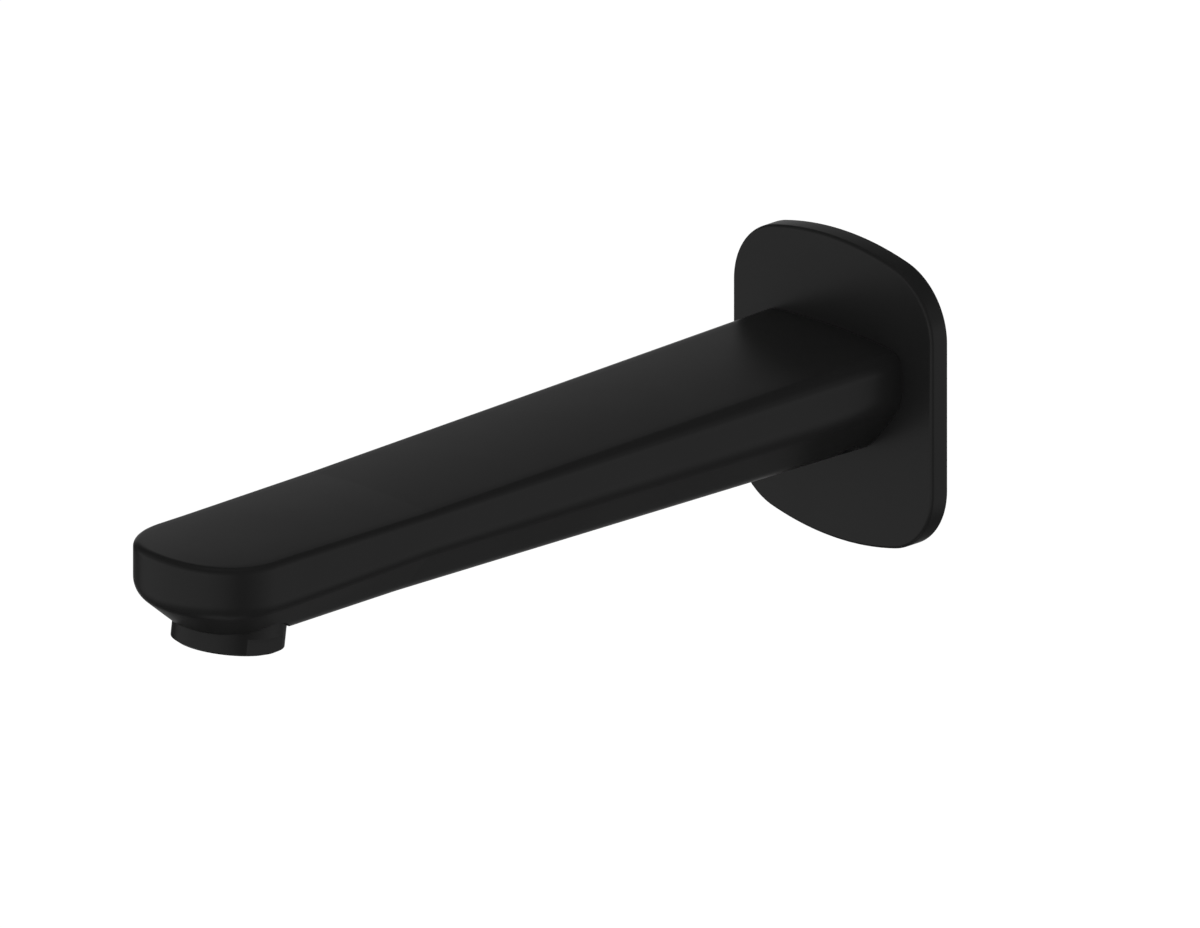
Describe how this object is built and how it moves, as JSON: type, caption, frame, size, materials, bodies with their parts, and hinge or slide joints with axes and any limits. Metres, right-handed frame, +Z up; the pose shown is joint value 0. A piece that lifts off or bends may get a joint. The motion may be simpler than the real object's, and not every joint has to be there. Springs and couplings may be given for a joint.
{
  "type": "bath spout",
  "caption": "Wall-mounted bath spout: a long flat tapered body on an arched rectangular wall plate, with a threaded inlet behind and an aerator under its rounded nose.",
  "frame": {"origin": "middle of the wall plate's back face, on the wall plane and on the inlet's axis", "axes": "+Z up, +Y into the wall along the inlet, so the spout reaches out along -Y; +X to the right of someone facing the wall"},
  "size_m": [0.06, 0.2145, 0.0672],
  "materials": {
    "black_finish": "semi-matt black coating on brass",
    "bare_brass": "turned, uncoated",
    "screw_steel": "stainless steel",
    "seal_rubber": "matt black rubber",
    "cartridge_plastic": "moulded, matt"
  },
  "bodies": {
    "root": {"spout_body": "black_finish", "wall_plate": "black_finish", "plate_seal": "seal_rubber", "inlet_nipple": "bare_brass", "outer_ring": "seal_rubber", "inner_ring": "seal_rubber", "grub_screw": "screw_steel", "outlet_housing": "black_finish", "flow_straightener": "cartridge_plastic", "mesh_screen": "screw_steel", "cartridge_cup": "cartridge_plastic", "jet_plate": "cartridge_plastic", "outlet_washer": "seal_rubber", "strainer_cap": "cartridge_plastic"}
  },
  "joints": []
}
